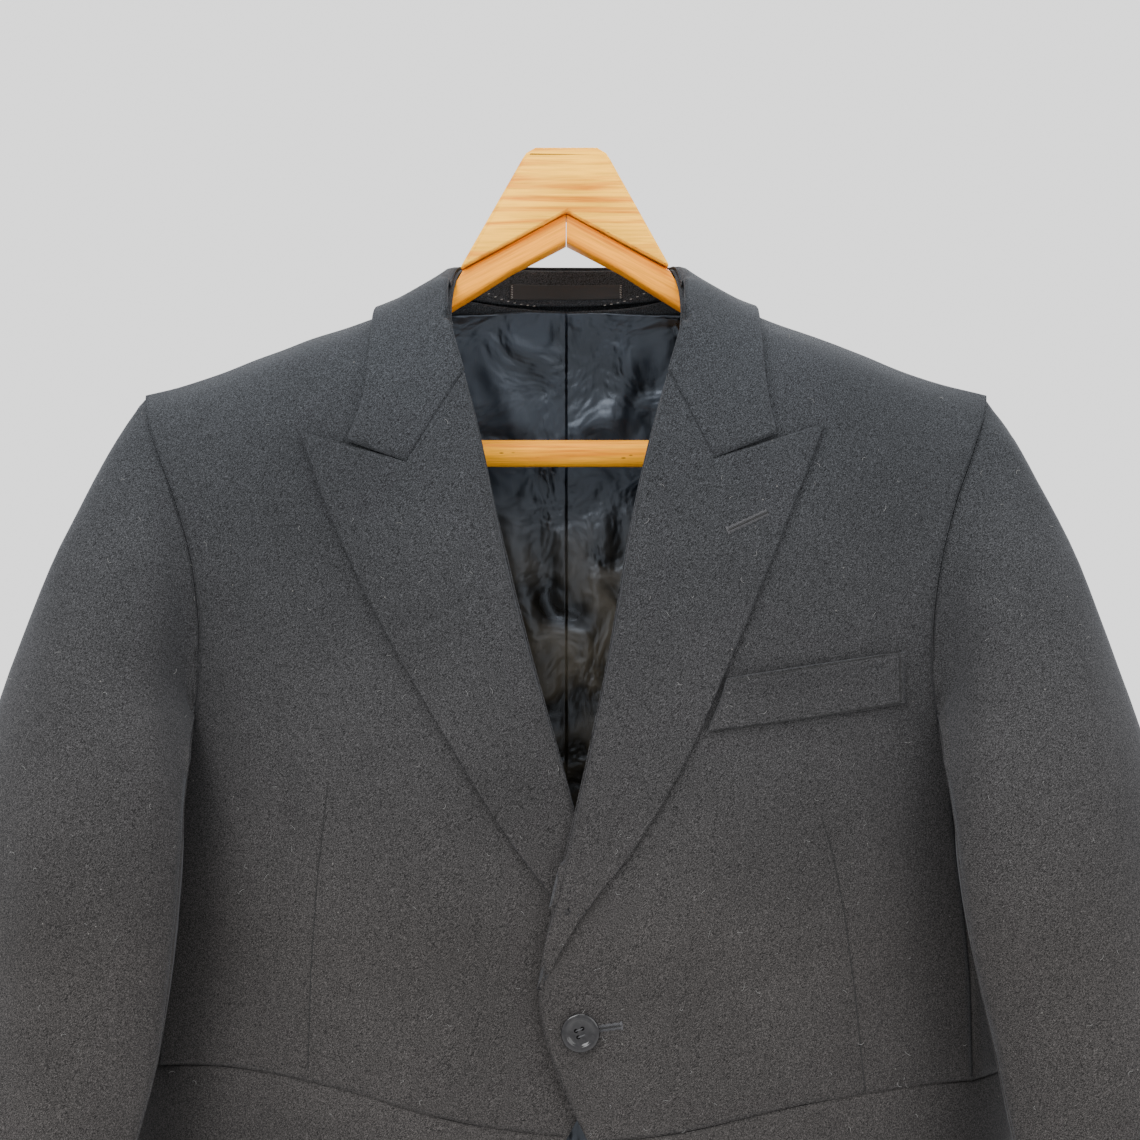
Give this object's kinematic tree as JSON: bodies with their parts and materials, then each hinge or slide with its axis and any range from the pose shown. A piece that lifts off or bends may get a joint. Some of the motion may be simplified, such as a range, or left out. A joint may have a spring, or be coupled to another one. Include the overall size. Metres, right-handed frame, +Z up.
{
  "type": "morning coat on a hanger",
  "caption": "Single-breasted cutaway morning coat in dark wool with peaked lapels, buttoned at the waist and hanging on a pale wooden hanger.",
  "frame": {"origin": "centre of the back face of the hanger's head board, where the hanger is held", "axes": "+X to the wearer's left, +Y out of the coat's back, +Z up"},
  "size_m": [0.704, 0.1746, 1.081],
  "materials": {
    "wool": "matte twill",
    "satin": "satin",
    "label": "woven tape",
    "horn": "gloss",
    "pine": "satin varnish"
  },
  "bodies": {
    "root": {"back_left": "wool", "back_right": "wool", "breast_welt": "wool", "collar_fall": "wool", "collar_stand": "wool", "front_left": "wool", "front_right": "wool", "lapel_left": "wool", "lapel_right": "wool", "side_body_left": "wool", "side_body_right": "wool", "skirt_left": "wool", "skirt_right": "wool", "top_sleeve_left": "wool", "top_sleeve_right": "wool", "under_sleeve_left": "wool", "under_sleeve_right": "wool", "back_lining_left": "satin", "back_lining_right": "satin", "neck_label": "label", "front_button": "horn", "waist_button_left": "horn", "waist_button_right": "horn", "hanger_arm_left": "pine", "hanger_arm_right": "pine", "hanger_head": "pine", "trouser_bar": "pine"}
  },
  "joints": []
}
